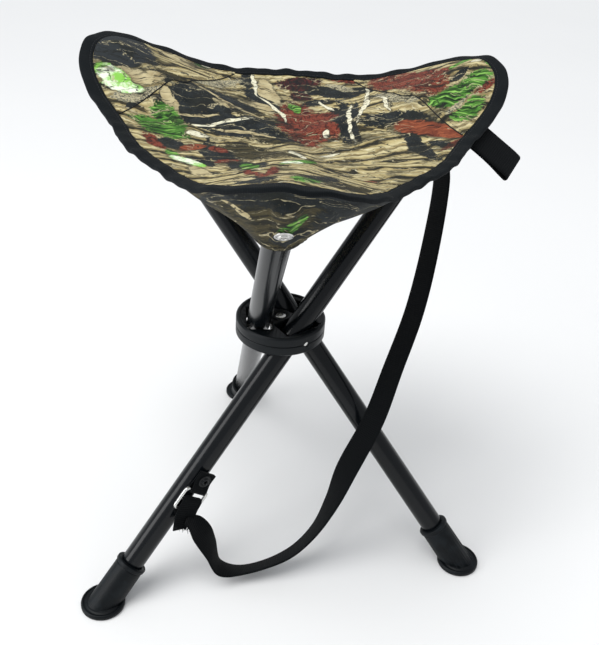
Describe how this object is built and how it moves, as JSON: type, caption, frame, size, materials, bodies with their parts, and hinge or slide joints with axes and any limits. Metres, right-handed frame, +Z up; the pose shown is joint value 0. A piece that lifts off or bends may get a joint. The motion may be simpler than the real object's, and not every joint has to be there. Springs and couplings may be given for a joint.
{
  "type": "folding tripod stool",
  "caption": "Folding camp stool: three steel tube legs cross in a round hub and hold a slung triangular fabric seat, with a webbing carry strap.",
  "frame": {"origin": "middle of the footprint of the open stool, on the floor, with the carry strap left out", "axes": "+Z up from the floor; -Y towards the front corner of the seat; +X to the right when facing along +Y"},
  "size_m": [0.399, 0.4344, 0.4729],
  "materials": {
    "powder_coat": "glossy black powder coat on steel tube",
    "hub_plastic": "moulded black nylon, fine texture",
    "black_rubber": "moulded black rubber, satin",
    "plated_steel": "nickel plated steel",
    "camo_cloth": "woven polyester printed with a foliage pattern",
    "black_webbing": "black woven tape and webbing"
  },
  "bodies": {
    "hub": {"hub_upper_shell": "hub_plastic", "hub_lower_shell": "hub_plastic", "hub_screw": "plated_steel", "hub_nut": "plated_steel", "right_leg_pivot_pin": "plated_steel", "left_leg_pivot_pin": "plated_steel", "front_leg_pivot_pin": "plated_steel", "seat_panel": "camo_cloth", "seat_binding": "black_webbing", "closure_tab": "black_webbing"},
    "right_leg": {"right_leg_tube": "powder_coat", "right_leg_foot": "black_rubber", "right_leg_end_cap": "hub_plastic", "right_leg_pocket_rivet": "plated_steel", "strap_rivet": "plated_steel", "strap_buckle": "plated_steel", "buckle_tab": "black_webbing", "buckle_tab_rivet": "powder_coat", "right_leg_pocket": "camo_cloth", "right_leg_corner_panel": "camo_cloth", "carry_strap": "black_webbing"},
    "left_leg": {"left_leg_tube": "powder_coat", "left_leg_foot": "black_rubber", "left_leg_end_cap": "hub_plastic", "left_leg_pocket_rivet": "plated_steel", "left_leg_pocket": "camo_cloth", "left_leg_corner_panel": "camo_cloth"},
    "front_leg": {"front_leg_tube": "powder_coat", "front_leg_foot": "black_rubber", "front_leg_end_cap": "hub_plastic", "front_leg_pocket_rivet": "plated_steel", "front_leg_pocket": "camo_cloth", "front_leg_corner_panel": "camo_cloth"}
  },
  "joints": [
    {"name": "right_leg_fold", "type": "hinge", "parent": "hub", "child": "right_leg", "pos_m": [0, -0.02803, 0.2408], "axis": [0.5, -0.866, 0], "range_deg": [0, 37.5], "deforming": ["seat_panel", "seat_binding", "closure_tab", "right_leg_pocket", "right_leg_corner_panel", "carry_strap"]},
    {"name": "left_leg_fold", "type": "hinge", "parent": "hub", "child": "left_leg", "pos_m": [0, 0.00817, 0.2408], "axis": [0.5, 0.866, 0], "range_deg": [0, 37.5], "deforming": ["left_leg_pocket", "left_leg_corner_panel"]},
    {"name": "front_leg_fold", "type": "hinge", "parent": "hub", "child": "front_leg", "pos_m": [-0.03135, -0.00993, 0.2408], "axis": [-1, 0, 0], "range_deg": [0, 37.5], "deforming": ["front_leg_pocket", "front_leg_corner_panel"]}
  ],
  "couplings": [
    {"joint": "left_leg_fold", "follows": "right_leg_fold", "ratio": 1},
    {"joint": "front_leg_fold", "follows": "right_leg_fold", "ratio": 1}
  ]
}
